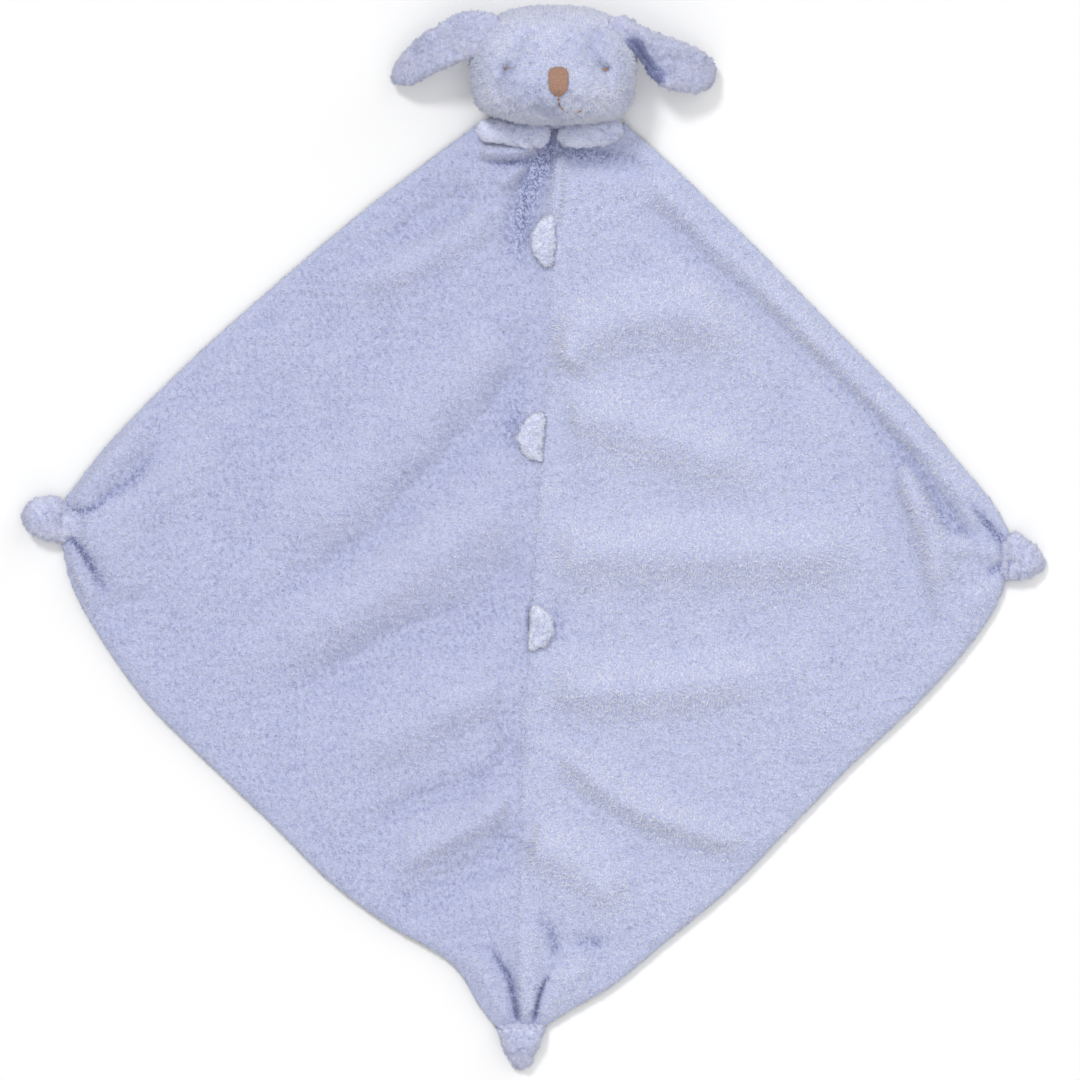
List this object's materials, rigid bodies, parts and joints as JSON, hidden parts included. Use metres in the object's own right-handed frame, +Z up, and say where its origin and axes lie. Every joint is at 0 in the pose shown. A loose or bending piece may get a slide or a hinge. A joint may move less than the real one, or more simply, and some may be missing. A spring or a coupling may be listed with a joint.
{
  "type": "comfort blanket",
  "caption": "Plush comfort blanket with a stuffed puppy head, padded paws and ears, sewn-in tabs and tied corner knots, lying flat face up.",
  "frame": {"origin": "middle of the toy's outline, on the surface that it lies on", "axes": "+Z up through the blanket, +Y from the bottom corner to the puppy's crown, +X to the puppy's left in the view from above"},
  "size_m": [0.512, 0.5306, 0.0581],
  "materials": {
    "plush": "short lavender-blue plush, dense and slightly curled, matt",
    "brown_thread": "soft brown embroidery thread, slightly glossy satin stitch",
    "lilac_thread": "sewing thread in the plush's own colour",
    "filling": "white polyester fibre filling, hidden inside"
  },
  "bodies": {
    "blanket": {"back_panel": "plush", "front_left_panel": "plush", "front_right_panel": "plush", "centre_seam_allowance": "plush", "neck_gather": "plush", "neck_tie": "lilac_thread", "left_corner_gather": "plush", "left_corner_tie": "lilac_thread", "right_corner_gather": "plush", "right_corner_tie": "lilac_thread", "bottom_corner_gather": "plush", "bottom_corner_tie": "lilac_thread"},
    "head": {"head_cover": "plush", "head_stuffing": "filling", "nose_embroidery": "brown_thread", "mouth_thread": "brown_thread", "left_eye_thread": "brown_thread", "right_eye_thread": "brown_thread"},
    "left_ear": {"left_ear_front": "plush", "left_ear_back": "plush"},
    "right_ear": {"right_ear_front": "plush", "right_ear_back": "plush"},
    "left_paw": {"left_paw_cover": "plush", "left_paw_stuffing": "filling"},
    "right_paw": {"right_paw_cover": "plush", "right_paw_stuffing": "filling"},
    "top_flap": {"top_tab": "plush"},
    "middle_flap": {"middle_tab": "plush"},
    "bottom_flap": {"bottom_tab": "plush"},
    "left_corner": {"left_corner_knot": "plush", "left_corner_stuffing": "filling"},
    "right_corner": {"right_corner_knot": "plush", "right_corner_stuffing": "filling"},
    "bottom_corner": {"bottom_corner_knot": "plush", "bottom_corner_stuffing": "filling"}
  },
  "joints": [
    {"name": "head_nod", "type": "hinge", "parent": "blanket", "child": "head", "pos_m": [0.0092, 0.2021, 0.0095], "axis": [1, 0, 0], "range_deg": [0, 50]},
    {"name": "left_ear_lift", "type": "hinge", "parent": "head", "child": "left_ear", "pos_m": [-0.03227, 0.24848, 0.03728], "axis": [0.3736, 0.9276, 0], "range_deg": [0, 100]},
    {"name": "right_ear_lift", "type": "hinge", "parent": "head", "child": "right_ear", "pos_m": [0.04961, 0.25077, 0.03727], "axis": [0.4658, -0.8849, 0], "range_deg": [0, 100]},
    {"name": "left_paw_swing", "type": "hinge", "parent": "blanket", "child": "left_paw", "pos_m": [-0.02228, 0.2011, 0.0115], "axis": [0, -0.3401, -0.9404], "range_deg": [0, 65]},
    {"name": "right_paw_swing", "type": "hinge", "parent": "blanket", "child": "right_paw", "pos_m": [0.03767, 0.2011, 0.0115], "axis": [0, 0.3401, 0.9404], "range_deg": [0, 65]},
    {"name": "top_tab_flip", "type": "hinge", "parent": "blanket", "child": "top_flap", "pos_m": [0.00859, 0.14739, 0.0079], "axis": [0.0101, 0.9999, 0], "range_deg": [0, 140]},
    {"name": "middle_tab_flip", "type": "hinge", "parent": "blanket", "child": "middle_flap", "pos_m": [0.00405, 0.0495, 0.0079], "axis": [0.0612, 0.9981, 0], "range_deg": [0, 140]},
    {"name": "bottom_tab_flip", "type": "hinge", "parent": "blanket", "child": "bottom_flap", "pos_m": [-0.00207, -0.04561, 0.0079], "axis": [-0.0585, -0.9983, 0], "range_deg": [0, 140]},
    {"name": "left_knot_lift", "type": "hinge", "parent": "blanket", "child": "left_corner", "pos_m": [-0.23716, 0.01008, 0.0052], "axis": [0, 1, 0], "range_deg": [0, 75]},
    {"name": "right_knot_lift", "type": "hinge", "parent": "blanket", "child": "right_corner", "pos_m": [0.23791, -0.01085, 0.0052], "axis": [-0.1392, -0.9903, 0], "range_deg": [0, 75]},
    {"name": "bottom_knot_lift", "type": "hinge", "parent": "blanket", "child": "bottom_corner", "pos_m": [-0.00754, -0.2463, 0.0052], "axis": [-1, 0, 0], "range_deg": [0, 75]}
  ]
}
